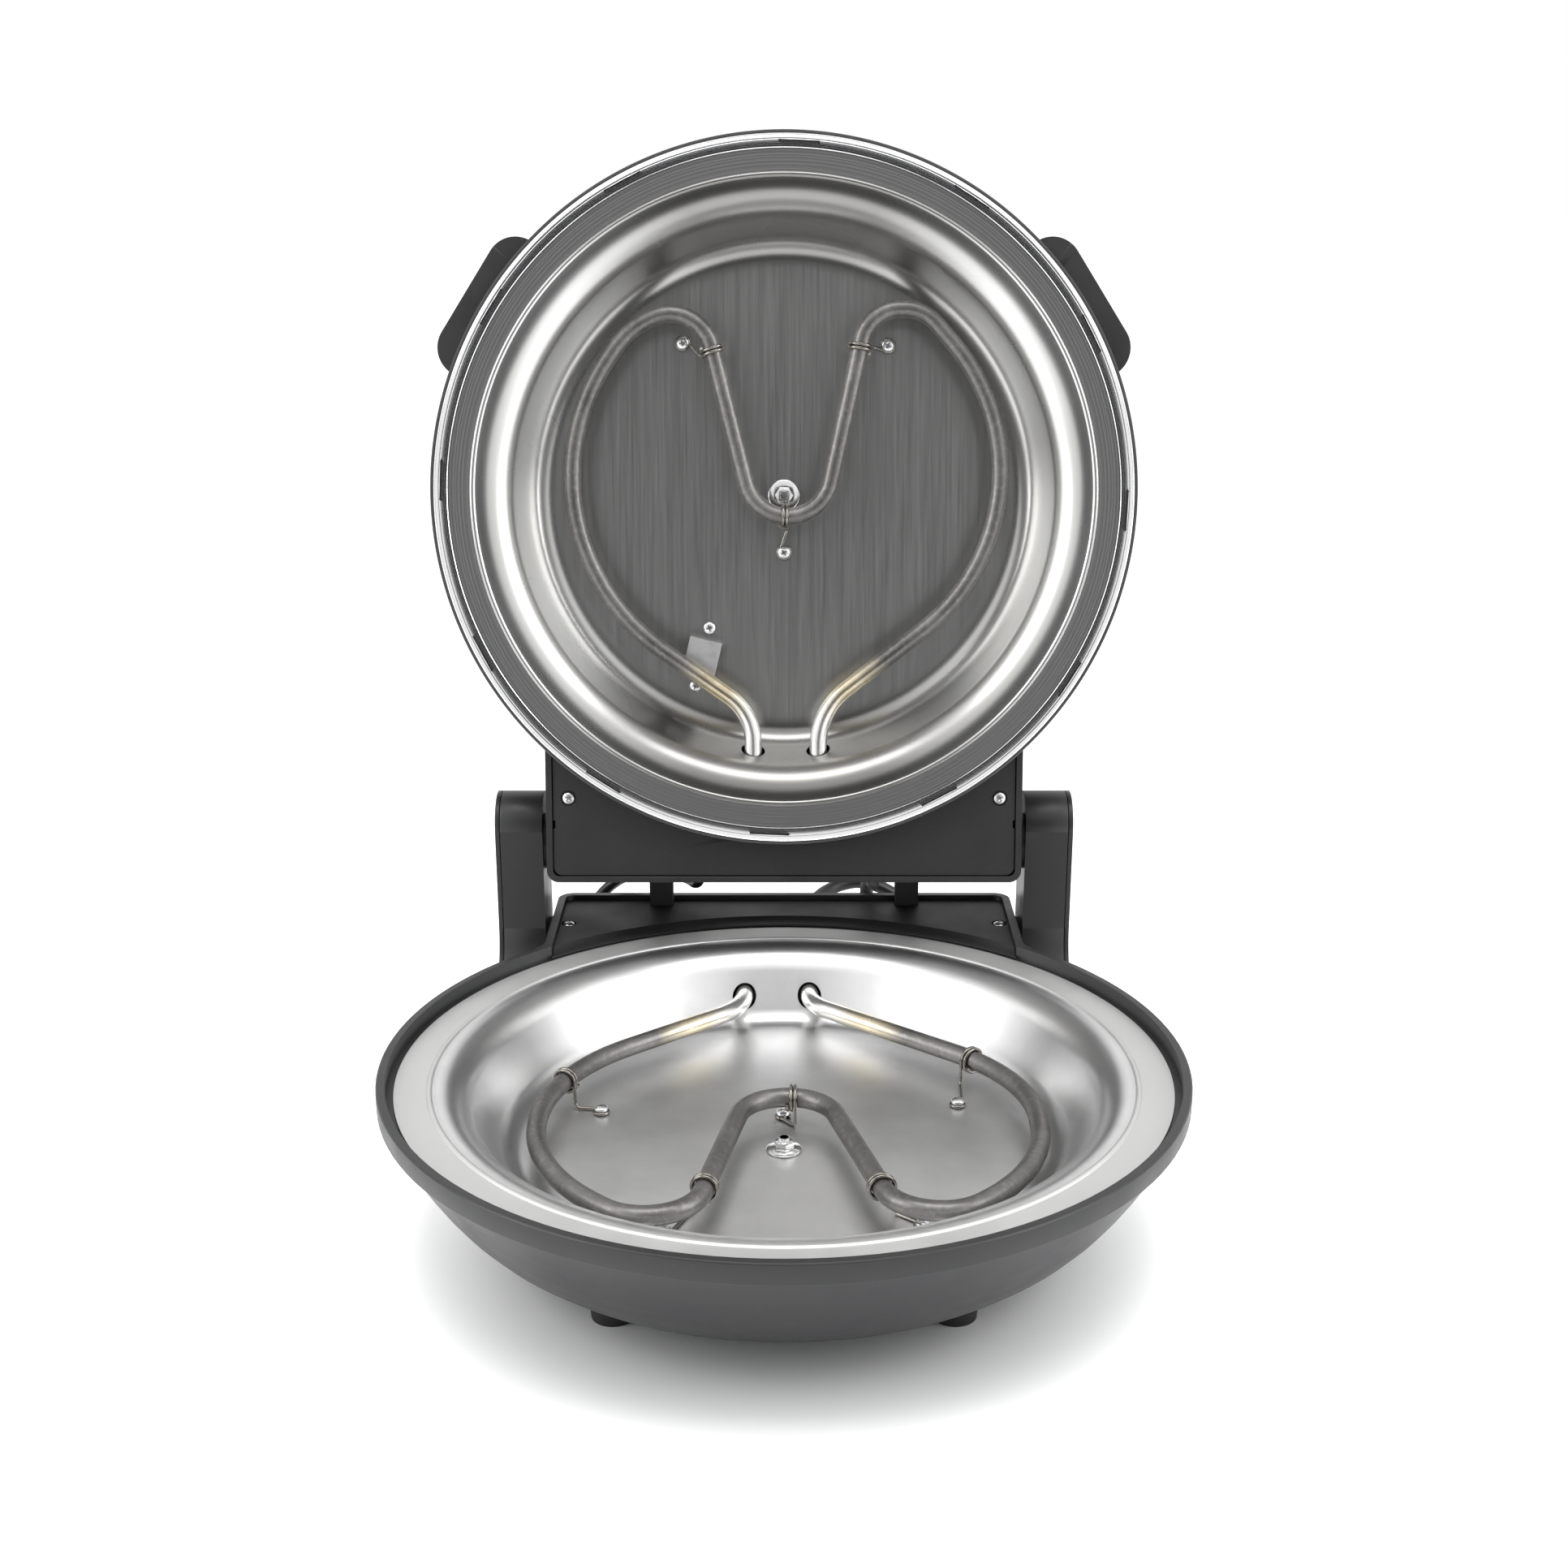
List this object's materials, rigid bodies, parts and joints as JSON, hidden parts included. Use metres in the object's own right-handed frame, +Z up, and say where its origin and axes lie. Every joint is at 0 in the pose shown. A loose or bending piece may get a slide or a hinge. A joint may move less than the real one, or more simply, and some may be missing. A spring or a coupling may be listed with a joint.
{
  "type": "electric pizza maker",
  "caption": "Round electric countertop oven for pizza: a bowl-shaped base and a hinged domed lid, each with a bright reflector and a bent tubular heater.",
  "frame": {"origin": "middle of the footprint at the level of the feet's undersides, measured from the rim's front to the back of the open lid", "axes": "+Z up, front towards -Y, hinge axis along X"},
  "size_m": [0.345, 0.5155, 0.4544],
  "materials": {
    "shell": "satin charcoal, fine texture",
    "lower_bowl": "satin charcoal",
    "cover": "fine texture",
    "lid_box": "fine texture",
    "arms": "satin",
    "base_reflector": "matt flange, polished bowl",
    "lid_reflector": "straight brushed",
    "ring": "polished",
    "element": "heat tinted",
    "wire": "bare wire",
    "screws": "plated",
    "nuts": "bright plated",
    "ceramic": "glazed ceramic look",
    "dome": "satin paint",
    "handles": "moulded",
    "rubber": "moulded",
    "cord": "smooth sheath",
    "lead_black": "smooth sheath",
    "lead_grey": "braided sleeve",
    "thermostat": "plated body",
    "bushes": "nylon",
    "knob": "moulded",
    "lamp": "clear lens"
  },
  "bodies": {
    "base": {"base_rim": "shell", "base_bowl": "lower_bowl", "box_floor": "shell", "box_floor_screws": "screws", "base_rear_cover": "cover", "cover_screws": "screws", "base_reflector": "base_reflector", "lower_element": "element", "lower_beads": "ceramic", "lower_clips": "wire", "lower_clip_screws": "screws", "base_bolt": "screws", "base_nut": "nuts", "base_spacer": "screws", "feet": "rubber", "foot_screws": "screws", "hinge_arm_left": "arms", "hinge_arm_right": "arms", "arm_screws": "screws", "arm_cap_left": "arms", "arm_cap_right": "arms", "hinge_pins": "screws", "lid_rests": "rubber", "terminal_block": "ceramic", "base_grommets": "rubber", "cord_gland": "rubber", "mains_cord": "cord", "cord_coil": "cord", "plug": "cord", "plug_pins": "screws", "link_lead_left": "lead_black", "link_lead_right": "lead_grey"},
    "lid": {"lid_shell": "dome", "lid_ring": "ring", "lid_reflector": "lid_reflector", "lid_rear_box": "lid_box", "lid_rear_panel": "cover", "panel_screws": "screws", "hinge_bushes": "bushes", "upper_element": "element", "upper_beads": "ceramic", "upper_clips": "wire", "upper_clip_screws": "screws", "lid_bolt": "screws", "lid_nut": "nuts", "lid_spacer": "screws", "thermostat": "thermostat", "thermostat_screws": "screws", "thermostat_tab": "nuts", "knob_dial": "knob", "pilot_lamp": "lamp", "handle_left": "handles", "handle_right": "handles", "handle_screws": "screws", "lid_grommets": "rubber"},
    "knob": {"thermostat_knob": "knob"}
  },
  "joints": [
    {"name": "lid_hinge", "type": "hinge", "parent": "base", "child": "lid", "pos_m": [0, 0.13799, 0.1122], "axis": [1, 0, 0], "range_deg": [0, 99.3], "deforming": ["link_lead_left", "link_lead_right"]},
    {"name": "knob_turn", "type": "hinge", "parent": "lid", "child": "knob", "pos_m": [-0.0404, 0.19034, 0.19797], "axis": [0, 0.9869, -0.1616], "range_deg": [0, 270]}
  ]
}
